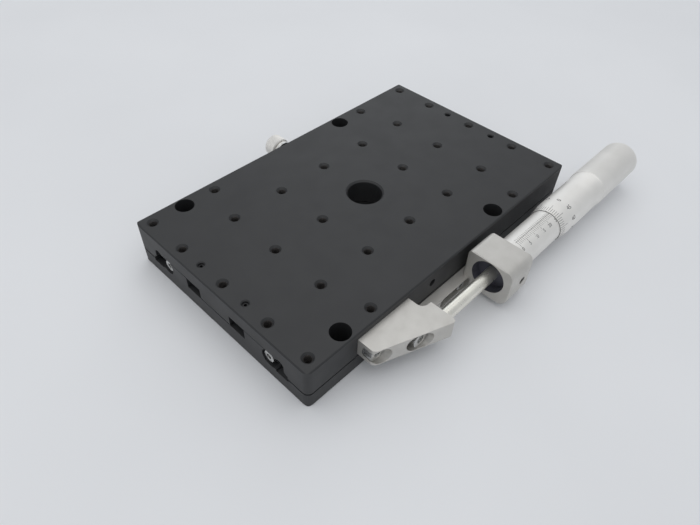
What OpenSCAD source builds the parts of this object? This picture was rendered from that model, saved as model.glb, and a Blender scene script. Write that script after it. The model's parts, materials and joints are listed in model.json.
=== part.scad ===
// Crossed-roller linear translation stage with a side-mounted micrometer head.
// Frame: origin at the centre of the base's bottom face, X along the travel,
// -Y the micrometer side ("front"), +Y the lock side ("back"), +Z up. Millimetres.
// The table is drawn at mid travel, with the micrometer at half its range.

/* [Stage] */
// Length of the table and base along the travel
stage_l = 160; // [158:1:200]
// Width of the table and base
stage_w = 100; // [98:1:130]
// Total height of the closed stage
stage_h = 20; // [19:0.5:28]
// Travel each way from the middle
travel = 25; // [5:1:25]
// Chamfer on the outer edges of both plates
edge_chamfer = 0.5; // [0.2:0.1:1]
// Radius of the upright corners of both plates
corner_r = 2.5; // [0.5:0.1:3]

/* [Base plate] */
// Thickness of the base under the base rails
floor_t = 6.6; // [6.4:0.1:7]
// Thickness of the base under the table's rails
trough_t = 5.8; // [5.6:0.1:6]
// Thickness of the base under the springs and the table's rib
spring_floor_t = 8; // [7.8:0.1:8.1]
// Thickness of the base under the table's legs
shoulder_t = 6.9; // [6.6:0.1:6.9]
// Running gap between the table's legs and the base
leg_gap = 0.7; // [0.5:0.05:0.9]
// Distance of the mounting holes from the stage's middle, along X
mount_x = 45; // [40:0.5:46]
// Distance of the mounting holes from the plates' sides
mount_edge = 5; // [5:0.1:5.5]
// Diameter of the mounting holes, clearance for M4
mount_d = 4.5; // [4.2:0.1:5]
// Diameter of the mounting counterbores
mount_cb_d = 8; // [7.4:0.1:8.4]
// Material left under the mounting counterbores
mount_web = 1.6; // [1.2:0.1:2.4]

/* [Table plate] */
// Width of each leg of the table
leg_w = 10; // [10:0.5:12]
// Step between the rail seat and the rest of the table's underside
seat_step = 0.3; // [0.2:0.05:0.5]
// Width of the rib under the middle of the table
rib_w = 17.6; // [17.2:0.1:18.4]
// Running gap between the rib and the base
rib_gap = 0.5; // [0.3:0.05:1]
// Pitch of the grid of tapped holes
hole_pitch = 25; // [24:0.5:25]
// Least distance of a grid hole from the plate's end
grid_edge = 4.5; // [4:0.1:5]
// Wall diameter of the M4 tapped holes
tap_d = 3.3; // [3.2:0.1:3.5]
// Diameter of the countersinks on the tapped holes
tap_sink_d = 4.8; // [4.2:0.1:5.4]
// Depth of the tapped holes
tap_depth = 8; // [7.5:0.1:8.4]
// Diameter of the access holes over the base's mounting holes
access_d = 8; // [7.4:0.1:8.4]
// Table position at which the access holes line up with the mounting holes
access_shift = 15; // [13:0.5:17]
// Diameter of the aperture through the middle of the stage
bore_d = 15; // [12:0.5:16]
// Chamfer on the aperture's upper edge
bore_chamfer = 0.75; // [0.3:0.05:1.2]
// Place along X of the spare tapped hole in the front side
side_tap_x = -15.4; // [-22:0.2:-10]

/* [Rails and cages] */
// Width of one rail
rail_w = 5.7; // [5.5:0.1:6]
// Height of one rail
rail_h = 6.4; // [6:0.1:6.6]
// Gap between the two rails of a pair
rail_gap = 0.6; // [0.5:0.05:0.8]
// Distance from the rail's end to the plate's end
rail_inset = 2.5; // [2.2:0.1:4]
// Roller diameter
roller_d = 2; // [1.8:0.1:2.2]
// Roller length
roller_l = 1.9; // [1.6:0.1:1.95]
// Roller pitch
roller_pitch = 5.5; // [4:0.5:8]
// Number of rollers in a cage
roller_count = 23; // [9:2:23]
// Clearance round a roller
roller_clear = 0.06; // [0.03:0.01:0.1]
// Thickness of the cage strip
cage_t = 0.4; // [0.3:0.05:0.4]
// Height of the cage strip
cage_h = 4.6; // [4:0.1:5]
// Margin round a roller in its cage window
cage_window = 0.15; // [0.1:0.05:0.3]
// Strip left past the middle of the last roller
cage_end = 3; // [2:0.5:4]
// Pitch of the rail screws
rail_screw_pitch = 25; // [20:1:25]
// Depth that a rail screw goes into the table's leg
rail_screw_bite = 3; // [2.5:0.1:3.4]
// Distance of a base rail's end screw from the middle of the rail pair
end_screw_offset = 4.1; // [3.9:0.05:4.2]
// Distance of a table rail's end screw from the middle of the rail pair
end_stop_offset = 3.1; // [3:0.05:3.3]
// Diameter of the pocket round a base rail's end screw
end_pocket_d = 7.7; // [7:0.1:7.8]
// Distance of that pocket from the middle of the rail pair
end_pocket_offset = 3.3; // [3.2:0.05:3.5]
// Width of the upright slot in front of a table rail's end
end_slot_w = 4.6; // [4.2:0.1:5]
// Height of that slot
end_slot_h = 8.6; // [8:0.1:8.8]
// Width of the cheek that covers the outer part of a table rail's end
cheek_w = 1.8; // [1.2:0.1:2]
// Step from the leg's underside up to the cheek's
cheek_step = 1.2; // [0.8:0.1:1.6]
// Radius of the cheek's lower edge
cheek_r = 1.7; // [0.8:0.1:1.8]
// Gap between the cheek and the rail's end
cheek_gap = 0.2; // [0.1:0.05:0.4]

/* [Return springs] */
// Width of a spring channel
channel_w = 8.4; // [7:0.1:9]
// Outer diameter of a return spring
spring_d = 4.8; // [4:0.1:4.9]
// Wire diameter of a return spring
spring_wire = 0.7; // [0.5:0.05:0.8]
// Distance of the table's spring posts from the table's -X end
table_post_end = 5; // [4:0.1:10]
// Distance of the base's spring posts from the base's +X end
base_post_end = 20; // [15:0.5:25]
// Diameter of a spring post
post_d = 2.5; // [2:0.1:3]
// Length of a spring's end hook
hook_l = 6; // [5:0.5:8]

/* [Travel stop] */
// Diameter of the stop pin
stop_d = 4; // [3:0.1:4.4]
// Place of the stop pin along X
stop_x = 45; // [42:0.5:48]
// Depth of the stop slot in the table's rib
stop_slot_h = 3.5; // [3:0.1:4]
// Gap round the stop pin in its slot
stop_gap = 0.2; // [0.1:0.05:0.3]
// Gap between the stop pin's tip and the slot's roof
stop_tip_gap = 0.5; // [0.3:0.1:1]

/* [Anvil bracket] */
// Place along X of the anvil face that the spindle pushes
anvil_x = -25.5; // [-27:0.1:-24]
// Length of the bracket along X
anvil_l = 31; // [29.5:0.1:33]
// Thickness of the bracket
anvil_t = 8.1; // [8:0.1:8.6]
// Height of the bracket's underside above the base's bottom face
anvil_z = 8.9; // [8.6:0.1:9]
// Reach of the bracket from the table's side at its far end
anvil_heel = 7.6; // [7.2:0.1:8.4]
// Reach of the bracket from the table's side at the anvil face
anvil_reach = 19.2; // [18.4:0.1:20]
// Depth of the notch beside the anvil face
anvil_notch = 6.9; // [5:0.1:7.4]
// Width of the notch beside the anvil face
anvil_notch_w = 4.5; // [3.6:0.1:5]
// Radius of the notch's corner
anvil_notch_r = 3; // [1:0.1:3.2]
// Radius of the bracket's outer corner at the anvil face
anvil_nose_r = 1.5; // [1:0.1:4]
// Radius of the bracket's corner at the heel
anvil_heel_r = 2.5; // [1:0.1:3]
// Distance of the first screw from the heel
anvil_screw_x = 3; // [3:0.1:4]
// Pitch of the two bracket screws
anvil_screw_pitch = 15; // [14:0.5:15.5]
// Distance from the table's side to the screw heads' seats
anvil_seat_1 = 2.6; // [2:0.1:3]
// Distance from the table's side to the second head's seat
anvil_seat_2 = 9.2; // [8:0.1:9.6]
// Length of the second screw's long seat
anvil_seat_l = 10.4; // [8:0.1:10.6]
// Distance from that seat's middle to its screw
anvil_seat_shift = 0.9; // [0:0.1:1.2]
// Diameter of the anvil pad
pad_d = 6.4; // [5:0.1:6.6]
// Thickness of the anvil pad
pad_t = 2; // [1:0.1:3]

/* [Micrometer bracket] */
// Distance from the table's side to the micrometer's axis
axis_out = 12.5; // [12.3:0.1:13]
// Height of the micrometer's axis above the base's bottom face
axis_z = 12.5; // [12:0.1:12.6]
// Place along X of the clamp block's front face
block_x = 3.5; // [2:0.1:5]
// Length of the clamp block along the axis
block_l = 15; // [14:0.1:16.5]
// Width of the clamp block
block_w = 20.9; // [18:0.1:21]
// Height of the clamp block's top above the base's bottom face
block_top = 20.4; // [20.2:0.1:22]
// Height of the clamp block's underside above the base's bottom face
block_lift = 2.4; // [2:0.1:3]
// Radius of the clamp block's upper inner edge
block_in_r = 2.5; // [1:0.1:2.8]
// Radius of the clamp block's upper outer edge
block_out_r = 4.3; // [1:0.1:4.6]
// Radius of the clamp block's lower outer edge
block_low_r = 5.5; // [2:0.5:6]
// Chamfer on the clamp block's end faces
block_chamfer = 0.4; // [0.2:0.1:0.8]
// Radius of the clamp block's two upright rear edges
block_rear_r = 2.5; // [1:0.1:2.8]
// Distance from the clamp block's front face to its clamp screw
clamp_x = 8.2; // [7:0.1:9]
// Thickness of the bracket's arm along the base's side
arm_t = 4.6; // [4.2:0.1:4.8]
// Gap between the arm and the surface that the stage stands on
arm_lift = 0.4; // [0.3:0.1:0.8]
// Height of the arm's top above the base's bottom face
arm_top = 6.1; // [5.9:0.1:6.6]
// Distance from the clamp block to the middle of the arm's first slot
arm_slot_x = 9; // [8.9:0.1:9.6]
// Pitch of the arm's two slots
arm_slot_pitch = 18.5; // [18:0.1:20]
// Length of the recess round each slot
arm_recess_l = 17; // [10:0.5:17]
// Extra length of the first recess, into the clamp block
arm_recess_more = 2.9; // [0:0.1:3]
// Width of the recess round each slot
arm_recess_w = 4.8; // [4.6:0.05:4.9]
// Depth of the recess for the arm's screw heads
arm_recess_depth = 2.6; // [2.4:0.1:2.8]
// Material left past the end of the second slot
arm_end = 1.5; // [1:0.1:4]
// Distance of the screws from the middles of their slots
arm_screw_shift = 5.5; // [0:0.1:5.8]

/* [Micrometer head] */
// Diameter of the graduated sleeve
sleeve_d = 14.3; // [13.5:0.1:14.5]
// Depth of the sleeve's end inside the clamp block
sleeve_sink = 4.5; // [2:0.1:5]
// Length of the sleeve
sleeve_l = 77; // [74:0.5:78]
// Bore of the sleeve behind its spindle guide
sleeve_bore = 10; // [8:0.1:11]
// Length of the spindle guide in the sleeve
guide_l = 12; // [8:0.5:14]
// Spindle diameter
spindle_d = 5.3; // [5:0.05:6.5]
// Rear end of the spindle along X at mid travel
spindle_end = 40; // [38:0.5:42]
// Width of the keyway along the underside of the spindle
key_w = 1.5; // [1:0.1:1.8]
// Depth of the keyway
key_depth = 0.9; // [0.6:0.1:1.2]
// Running clearance of the spindle and the lead screw
run_clear = 0.05; // [0.02:0.01:0.1]
// Length of the lead screw's nut
nut_l = 12; // [8:0.5:13]
// Place along X of the thimble's front edge at mid travel
thimble_x = 45.8; // [45:0.1:47]
// Length of the thimble
thimble_l = 70; // [68:0.5:72]
// Diameter of the thimble's front edge
thimble_front_d = 15; // [14.9:0.05:15.4]
// Diameter of the thimble's plain barrel
thimble_d = 16.5; // [16.2:0.1:16.8]
// Length of the thimble's graduated bevel
bevel_l = 6; // [4:0.5:8]
// Length of the plain part of the thimble, bevel and barrel together
plain_l = 36; // [30:0.5:40]
// Diameter of the knurled grip
grip_d = 17.4; // [17:0.1:17.6]
// Chamfer on the grip's far end
grip_chamfer = 1.2; // [0.5:0.1:1.6]
// Radial gap between the thimble and the sleeve
thimble_gap = 0.1; // [0.05:0.01:0.15]
// Thickness of the web at the thimble's far end
web_t = 3; // [2:0.5:4]
// Diameter of the cap at the thimble's far end
cap_d = 12; // [10:0.5:13]
// Thickness of the cap
cap_t = 2; // [1:0.5:3]

/* [Travel lock] */
// Place of the lock screw along X
lock_x = 0; // [-1:0.5:1]
// Height of the lock screw above the base's bottom face
lock_z = 14; // [13.8:0.1:14.4]
// Gap between the lock screw and the slot it runs in
lock_slot_gap = 0.6; // [0.2:0.05:0.7]
// Thickness of the lock plate
lock_plate_t = 2; // [1.5:0.1:2.4]
// Chamfer on the lock plate's corners
lock_corner = 2.5; // [1:0.1:3]
// Depth of the lock screw's thread in the table
lock_thread_l = 6; // [5:0.5:6.5]
// Depth of the lock screw's hole past its tip
lock_hole_spare = 0.8; // [0.5:0.1:1]
// Height of the lock plate's top above the base's bottom face
lock_plate_top = 17.6; // [17.2:0.1:18.4]
// Gap between the lock plate and the table's side
lock_gap = 0.3; // [0.2:0.05:0.4]
// Distance of each lock plate screw from the middle
lock_screw_x = 29; // [28:0.5:30]
// Diameter of the lock knob
knob_d = 10; // [9:0.1:11]
// Length of the lock knob's head
knob_l = 6; // [5:0.1:7]
// Diameter of the knob's collar and of its washer
collar_d = 8.6; // [7:0.1:9]
// Thickness of the washer under the knob
washer_t = 0.8; // [0.5:0.1:1]
// Length of the collar on the knob
collar_l = 0.9; // [0.6:0.1:1.2]
// Width of the groove between the collar and the head
groove_l = 0.6; // [0.4:0.1:0.8]

/* [Fasteners] */
// M4 cap screw head diameter
m4_head_d = 7; // [6.6:0.1:7]
// M4 cap screw head height
m4_head_h = 4; // [3.6:0.1:4]
// Wall diameter of the M3 tapped holes
m3_tap_d = 2.5; // [2.4:0.1:2.7]
// M2.5 cap screw head diameter
m25_head_d = 4.5; // [4.2:0.1:4.6]
// M2.5 cap screw head height
m25_head_h = 2; // [1.8:0.1:2.2]
// Wall diameter of the M2.5 tapped holes
m25_tap_d = 2.1; // [2:0.1:2.2]
// Diameter of a base rail's end screw head
end_head_d = 4.8; // [4.4:0.1:5]
// Height of a base rail's end screw head
end_head_h = 1.9; // [1.5:0.1:2]
// Radial gap between a screw and its hole
screw_gap = 0.05; // [0.02:0.01:0.1]
// Radial gap between a screw's head and its counterbore
head_gap = 0.25; // [0.15:0.05:0.35]
// Radial gap between a screw's root and its plain through hole
through_gap = 0.3; // [0.2:0.05:0.5]
// Depth of a set screw below the face it is driven from
set_sink = 0.3; // [0.1:0.05:0.6]
// Depth that the short screws reach into their tapped holes
thread_l = 3.6; // [3:0.1:4]
// Depth of a screw's hexagonal socket
socket_h = 1; // [0.6:0.1:1.2]

/* [Hidden] */
$fn = 48;
BLACK = [0.13, 0.13, 0.14];
SILVER = [0.80, 0.80, 0.78];
STEEL = [0.62, 0.63, 0.65];
DARK_STEEL = [0.30, 0.31, 0.33];
BRASS = [0.72, 0.58, 0.28];
over = 1;                      // overshoot of a cutting tool
m25_hole_d = m25_tap_d + 2 * through_gap;
m4_hole_d = tap_d + 2 * through_gap;
half_l = stage_l / 2;
half_w = stage_w / 2;
mount_y = half_w - mount_edge;
grid_side_cols = floor((half_l - grid_edge) / hole_pitch);
table_post_x = half_l - table_post_end;
base_post_x = half_l - base_post_end;
// heights
rail_top = floor_t + rail_h;
rail_z = floor_t + rail_h / 2;
underside = rail_top + seat_step;
leg_z = shoulder_t + leg_gap;
rib_z = spring_floor_t + rib_gap;
spring_z = (spring_floor_t + underside) / 2;
// lateral places, from the middle outwards
channel_in = rib_w / 2;
channel_out = channel_in + channel_w;
channel_y = channel_in + channel_w / 2;
leg_in = half_w - leg_w;
pair_y = leg_in - rail_w - rail_gap / 2;               // middle of a rail pair
base_rail_in = pair_y - rail_gap / 2 - rail_w;
end_in_y = pair_y - end_screw_offset;
end_out_y = pair_y + end_stop_offset;
trough_out = leg_in + leg_gap / 2;
// rails and cages
rail_l = stage_l - 2 * rail_inset;
rail_end = rail_l / 2;
groove_side = roller_d + 2 * roller_clear;
cage_l = (roller_count - 1) * roller_pitch + 2 * cage_end;
rail_head_y = groove_side / sqrt(2) + 0.2;             // head top from the pair's middle
rail_seat_y = rail_head_y + m25_head_h;
rail_screws = [-2, -1, 0, 1, 2];
rail_thread_l = leg_in + rail_screw_bite - (pair_y + rail_seat_y);
end_thread_l = 5;
cheek_l = half_l - rail_end - cheek_gap;
preload_steps = [-5.4, -3, -1, 1, 3, 5.4];             // places in half screw pitches
preload_l = 6.5;
// micrometer
axis_y = -(half_w + axis_out);
sleeve_x = block_x + sleeve_sink;
sleeve_end = sleeve_x + sleeve_l;
block_end = block_x + block_l;
nut_d = sleeve_bore + 1.4;
key_x = sleeve_x + guide_l / 4;
thimble_end = thimble_x + thimble_l;
thimble_bore = sleeve_d + 2 * thimble_gap;
screw_x = spindle_end + 0.3;
web_x = thimble_end - cap_t - web_t;
// anvil bracket
anvil_zc = anvil_z + anvil_t / 2;
anvil_heel_x = anvil_x - anvil_l;
anvil_screw_1 = anvil_heel_x + anvil_screw_x;
anvil_screw_2 = anvil_screw_1 + anvil_screw_pitch;
anvil_thread_l = 6.4;
// bracket arm
arm_zc = (arm_lift + arm_top) / 2;
arm_slots = [block_x - arm_slot_x, block_x - arm_slot_x - arm_slot_pitch];
arm_x = arm_slots[1] - arm_recess_l / 2 - arm_end;
arm_seat_y = half_w + arm_t - arm_recess_depth;
// lock
lock_out = half_w + lock_plate_t;
lock_slot_d = tap_d + 2 * lock_slot_gap;
lock_screw_z = (shoulder_t + lock_gap) / 2;
washer_y = lock_out + lock_gap;
collar_y = washer_y + washer_t;
head_y = collar_y + collar_l + groove_l;
knob_end = head_y + knob_l;
stud_in = half_w - lock_thread_l;
stud_out = head_y + knob_l / 2;

// ---------------------------------------------------------------- helpers

// a profile drawn in Y and Z, drawn out along X about the middle
module along_x(l) rotate([90, 0, 90]) linear_extrude(l, center = true) children();

// a profile drawn in X and Z, drawn out along Y about the middle
module along_y(l) rotate([90, 0, 0]) linear_extrude(l, center = true) children();

module rod_x(d, x0, x1, y, z) translate([x0, y, z]) rotate([0, 90, 0]) cylinder(d = d, h = x1 - x0);

module rod_y(d, y0, y1, x, z) translate([x, y1, z]) rotate([90, 0, 0]) cylinder(d = d, h = y1 - y0);

module rod_z(d, z0, z1, x, y) translate([x, y, z0]) cylinder(d = d, h = z1 - z0);

// what is drawn at +Y, moved to the front or left at the back
module at_side(side) if (side == "front") mirror([0, 1, 0]) children(); else children();

module both_sides() for (side = ["front", "back"]) at_side(side) children();

module both_ends() for (turn = [0, 1]) mirror([turn, 0, 0]) children();

module four_corners(x, y) for (sx = [-1, 1], sy = [-1, 1]) translate([sx * x, sy * y, 0]) children();

// a profile that is symmetric about its upright axis
module symmetric(points) polygon(concat(points,
    [for (i = [len(points) - 1:-1:0]) if (points[i][0] != 0) [-points[i][0], points[i][1]]]));

module chamfered_rect(w, h, c) polygon([
    [c - w / 2, 0], [w / 2 - c, 0], [w / 2, c], [w / 2, h - c],
    [w / 2 - c, h], [c - w / 2, h], [-w / 2, h - c], [-w / 2, c]
]);

module rounded_rect(w, h, r) {
    square([w - 2 * r, h], center = true);
    square([w, h - 2 * r], center = true);
    for (sx = [-1, 1], sy = [-1, 1]) translate([sx * (w / 2 - r), sy * (h / 2 - r)]) circle(r);
}

// a slot's outline along X
module slot_shape(l, w) {
    square([l - w, w], center = true);
    for (s = [-1, 1]) translate([s * (l - w) / 2, 0]) circle(d = w);
}

// points of an arc of radius r that rounds the corner b of the path a-b-c
function unit(v) = v / norm(v);
function rounded(a, b, c, r, n = 8) =
    let (u = unit(a - b), w = unit(c - b),
         half = acos(u * w) / 2,
         centre = b + unit(u + w) * r / sin(half),
         p = b + u * r / tan(half) - centre,
         q = b + w * r / tan(half) - centre,
         turn = 180 - 2 * half,
         way = sign(p[0] * q[1] - p[1] * q[0]))
    [for (i = [0:n]) let (t = way * turn * i / n)
        centre + [p[0] * cos(t) - p[1] * sin(t), p[0] * sin(t) + p[1] * cos(t)]];

// a cap screw with its head above z = 0 and its shank below
module cap_screw(shank_d, shank_l, head_d, head_h) {
    difference() {
        cylinder(d = head_d, h = head_h);
        translate([0, 0, head_h - socket_h]) cylinder(d = head_d * 0.52, h = over + socket_h, $fn = 6);
    }
    translate([0, 0, -shank_l]) cylinder(d = shank_d, h = shank_l);
}

// a headless screw from z = 0 down, with its socket at the top
module set_screw(d, l) difference() {
    translate([0, 0, -l]) cylinder(d = d, h = l);
    translate([0, 0, -socket_h]) cylinder(d = d * 0.55, h = over + socket_h, $fn = 6);
}

// ---------------------------------------------------------------- plates

module stage_blank() intersection() {
    along_x(stage_l) chamfered_rect(stage_w, stage_h, edge_chamfer);
    along_y(stage_w) chamfered_rect(stage_l, stage_h, edge_chamfer);
    linear_extrude(stage_h) rounded_rect(stage_l, stage_w, corner_r);
}

module base_profile() symmetric([
    [0, 0], [half_w, 0], [half_w, shoulder_t], [trough_out, shoulder_t], [trough_out, trough_t],
    [pair_y, trough_t], [pair_y, floor_t], [base_rail_in, floor_t], [base_rail_in, rail_top],
    [channel_out, rail_top], [channel_out, spring_floor_t], [0, spring_floor_t]
]);

module table_profile() symmetric([
    [0, rib_z], [channel_in, rib_z], [channel_in, underside], [pair_y + rail_gap / 2, underside],
    [pair_y + rail_gap / 2, rail_top], [leg_in, rail_top], [leg_in, leg_z], [half_w, leg_z],
    [half_w, stage_h], [0, stage_h]
]);

// tapped holes for the screws that hold the rails, drilled from the rail seat
module rail_taps(seat, depth) for (i = rail_screws)
    rod_y(m25_tap_d, seat, seat + depth, i * rail_screw_pitch, rail_z);

// the space round the head of a base rail's end screw
module end_pocket()
    rod_x(end_pocket_d, rail_end, half_l + over, pair_y - end_pocket_offset, rail_z);

// the upright slot in front of a table rail's end
module end_slot() translate([rail_end, leg_in - cheek_w - end_slot_w / 2, rail_z]) rotate([0, 90, 0])
    linear_extrude(half_l + over - rail_end) slot_shape(end_slot_h, end_slot_w);

// the part of the table's leg that covers the outer side of a table rail's end
module end_cheek() {
    inner = leg_in - cheek_w;
    low = leg_z + cheek_step;
    translate([half_l - cheek_l / 2, 0, 0]) along_x(cheek_l) polygon(concat(
        rounded([inner, underside], [inner, low], [leg_in, low], cheek_r),
        [[leg_in + over, low], [leg_in + over, underside + over], [inner, underside + over]]));
}

module base_plate() color(BLACK) difference() {
    intersection() {
        along_x(stage_l) base_profile();
        stage_blank();
    }
    rod_z(bore_d, -over, spring_floor_t + over, 0, 0);
    four_corners(mount_x, mount_y) {
        rod_z(mount_d, -over, shoulder_t, 0, 0);
        rod_z(mount_cb_d, mount_web, shoulder_t + over, 0, 0);
    }
    both_sides() {
        rail_taps(base_rail_in - thread_l - screw_gap, thread_l + screw_gap + over);
        rod_z(post_d + 2 * screw_gap, spring_floor_t - thread_l, spring_floor_t + over,
              base_post_x, channel_y);
    }
    both_sides() both_ends() end_pocket();
    rod_z(stop_d + 2 * screw_gap, -over, spring_floor_t + over, stop_x, 0);
    for (x = arm_slots)
        rod_y(m25_tap_d, -half_w - over, -half_w + thread_l, x + arm_screw_shift, arm_zc);
    for (s = [-1, 1]) rod_y(m25_tap_d, half_w - thread_l, half_w + over, s * lock_screw_x, lock_screw_z);
}

module tapped_hole(x, y) translate([x, y, 0]) {
    rod_z(tap_d, stage_h - tap_depth, stage_h + over, 0, 0);
    sink(tap_d, tap_sink_d);
}

// a 45 degree countersink in the table's top face
module sink(d, sink_d) translate([0, 0, stage_h - (sink_d - d) / 2])
    cylinder(d1 = d, d2 = sink_d, h = (sink_d - d) / 2 + 0.001);

module hole_grid() {
    for (i = [-grid_side_cols:grid_side_cols], j = [-1:1])
        if (i != 0 || j != 0) tapped_hole(i * hole_pitch, j * hole_pitch);
    for (sx = [-1, 1], sy = [-1, 1]) {
        tapped_hole(sx * mount_x, sy * mount_y);
        tapped_hole(sx * grid_side_cols * hole_pitch, sy * mount_y);
    }
}

module table_plate() color(BLACK) difference() {
    intersection() {
        union() {
            along_x(stage_l) table_profile();
            both_sides() both_ends() end_cheek();
        }
        stage_blank();
    }
    rod_z(bore_d, -over, stage_h + over, 0, 0);
    sink(bore_d, bore_d + 2 * bore_chamfer);
    hole_grid();
    four_corners(mount_x, mount_y) rod_z(access_d, leg_z - over, stage_h + over, -access_shift, 0);
    four_corners(table_post_x, channel_y) {
        rod_z(post_d + 2 * screw_gap, rib_z, stage_h + over, 0, 0);
        sink(post_d + 2 * screw_gap, post_d + 1);
    }
    stop_slot();
    both_sides() {
        rail_taps(leg_in - over, rail_thread_l + screw_gap + over + rail_w - m25_head_h);
        both_ends() end_slot();
    }
    for (i = preload_steps)
        rod_y(m3_tap_d, leg_in - over, half_w + over, i * rail_screw_pitch / 2, rail_z);
    for (x = [anvil_screw_1, anvil_screw_2])
        rod_y(tap_d, -half_w - over, -half_w + anvil_thread_l + screw_gap, x, anvil_zc);
    rod_y(tap_d, -half_w - over, -half_w + tap_depth, side_tap_x, lock_z);
    rod_y(tap_d, stud_in - lock_hole_spare, half_w + over, lock_x, lock_z);
}

// the slot in the rib that runs along the stop pin
module stop_slot() translate([stop_x, 0, rib_z - over]) linear_extrude(stop_slot_h + over)
    slot_shape(2 * travel + stop_d + 2 * stop_gap, stop_d + 2 * stop_gap);

// ---------------------------------------------------------------- rails and cages

// one rail, with its back at y0 and its groove facing the pair's middle
module rail(y0, seat_y) difference() {
    translate([-rail_end, y0, floor_t]) cube([rail_l, rail_w, rail_h]);
    translate([0, pair_y, rail_z]) rotate([45, 0, 0])
        cube([rail_l + 2 * over, groove_side, groove_side], center = true);
    for (i = rail_screws) {
        rod_y(m25_hole_d, y0 - over, y0 + rail_w + over, i * rail_screw_pitch, rail_z);
        rod_y(m25_head_d + 2 * screw_gap, min(seat_y, pair_y), max(seat_y, pair_y),
              i * rail_screw_pitch, rail_z);
    }
    both_ends() rod_x(m3_tap_d, rail_end - end_thread_l - screw_gap, rail_end + over,
                      y0 > pair_y ? end_out_y : end_in_y, rail_z);
}

module base_rail() color(STEEL) rail(base_rail_in, pair_y - rail_seat_y);

module table_rail() color(STEEL) rail(pair_y + rail_gap / 2, pair_y + rail_seat_y);

module base_rail_front() at_side("front") base_rail();

module base_rail_back() at_side("back") base_rail();

module table_rail_front() at_side("front") table_rail();

module table_rail_back() at_side("back") table_rail();

module base_rail_screws() color(DARK_STEEL) both_sides() for (i = rail_screws)
    translate([i * rail_screw_pitch, pair_y - rail_seat_y, rail_z]) rotate([-90, 0, 0])
        cap_screw(m25_tap_d - 2 * screw_gap, pair_y - rail_seat_y - base_rail_in + thread_l,
                  m25_head_d, m25_head_h);

module table_rail_screws() color(DARK_STEEL) both_sides() for (i = rail_screws)
    translate([i * rail_screw_pitch, pair_y + rail_seat_y, rail_z]) rotate([90, 0, 0])
        cap_screw(m25_tap_d - 2 * screw_gap, rail_thread_l, m25_head_d, m25_head_h);

module base_rail_end_screws() color(STEEL) both_sides() both_ends()
    translate([rail_end, end_in_y, rail_z]) rotate([0, 90, 0])
        cap_screw(m3_tap_d - 2 * screw_gap, end_thread_l, end_head_d, end_head_h);

module table_rail_end_screws() color(DARK_STEEL) both_sides() both_ends()
    translate([rail_end, end_out_y, rail_z]) rotate([0, 90, 0])
        set_screw(m3_tap_d - 2 * screw_gap, end_thread_l);

module cage() color(BRASS) difference() {
    translate([0, pair_y, rail_z]) cube([cage_l, cage_t, cage_h], center = true);
    for (i = [0:roller_count - 1]) translate([roller_at(i), pair_y, rail_z])
        cube([roller_d + 2 * cage_window, cage_t + over, roller_d * sqrt(2) + 2 * cage_window],
             center = true);
}

function roller_at(i) = (i - (roller_count - 1) / 2) * roller_pitch;

// crossed rollers, each turned a right angle from the last
module rollers() color(STEEL) for (i = [0:roller_count - 1])
    translate([roller_at(i), pair_y, rail_z]) rotate([i % 2 == 0 ? 45 : -45, 0, 0])
        cylinder(d = roller_d, h = roller_l, center = true);

module cage_front() at_side("front") cage();

module cage_back() at_side("back") cage();

module rollers_front() at_side("front") rollers();

module rollers_back() at_side("back") rollers();

module preload_screws() color(DARK_STEEL) for (i = preload_steps)
    translate([i * rail_screw_pitch / 2, leg_in + preload_l, rail_z]) rotate([-90, 0, 0])
        set_screw(m3_tap_d - 2 * screw_gap, preload_l);

// ---------------------------------------------------------------- springs and stop

module base_spring_posts() color(STEEL) both_sides()
    rod_z(post_d, spring_floor_t - thread_l, spring_z + spring_d / 2 - 0.5, base_post_x, channel_y);

module table_spring_posts() color(STEEL) both_sides() translate([-table_post_x, channel_y, stage_h - 1])
    set_screw(post_d, stage_h - 1 - (spring_z - spring_d / 2 + 0.5));

// an extension spring, its close coils as a tube, with a ring hook at each end
module spring() color(STEEL) {
    hook_r = post_d / 2 + screw_gap + spring_wire / 2;
    for (end = [[-table_post_x, 1], [base_post_x, -1]]) {
        translate([end[0], channel_y, spring_z]) rotate_extrude()
            translate([hook_r, 0]) circle(d = spring_wire);
        translate([end[0], channel_y, spring_z]) rotate([0, end[1] * 90, 0])
            translate([0, 0, hook_r]) cylinder(d = spring_wire, h = hook_l - hook_r);
    }
    difference() {
        rod_x(spring_d, hook_l - table_post_x, base_post_x - hook_l, channel_y, spring_z);
        rod_x(spring_d - 2 * spring_wire, hook_l + spring_wire - table_post_x,
              base_post_x - hook_l - spring_wire, channel_y, spring_z);
    }
}

module spring_front() at_side("front") spring();

module spring_back() at_side("back") spring();

module travel_stop_pin() color(DARK_STEEL)
    rod_z(stop_d, edge_chamfer, rib_z + stop_slot_h - stop_tip_gap, stop_x, 0);

// ---------------------------------------------------------------- anvil bracket

module anvil_plan() {
    heel = [anvil_heel_x, -half_w - anvil_heel];
    nose = [anvil_x, -half_w - anvil_reach];
    notch = [anvil_x - anvil_notch_w, -half_w - anvil_notch];
    root = [anvil_heel_x, -half_w];
    lip = [anvil_x, -half_w - anvil_notch];
    wall = [anvil_x - anvil_notch_w, -half_w];
    polygon(concat([root], rounded(root, heel, nose, anvil_heel_r),
                   rounded(heel, nose, lip, anvil_nose_r), [lip],
                   rounded(lip, notch, wall, anvil_notch_r), [wall]));
}

// the counterbore for a bracket screw's head, from its seat outwards
module anvil_seat(x, seat, l) translate([x, -half_w - seat, anvil_zc]) rotate([90, 0, 0])
    linear_extrude(anvil_reach) slot_shape(l, m4_head_d + 2 * head_gap);

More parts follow.
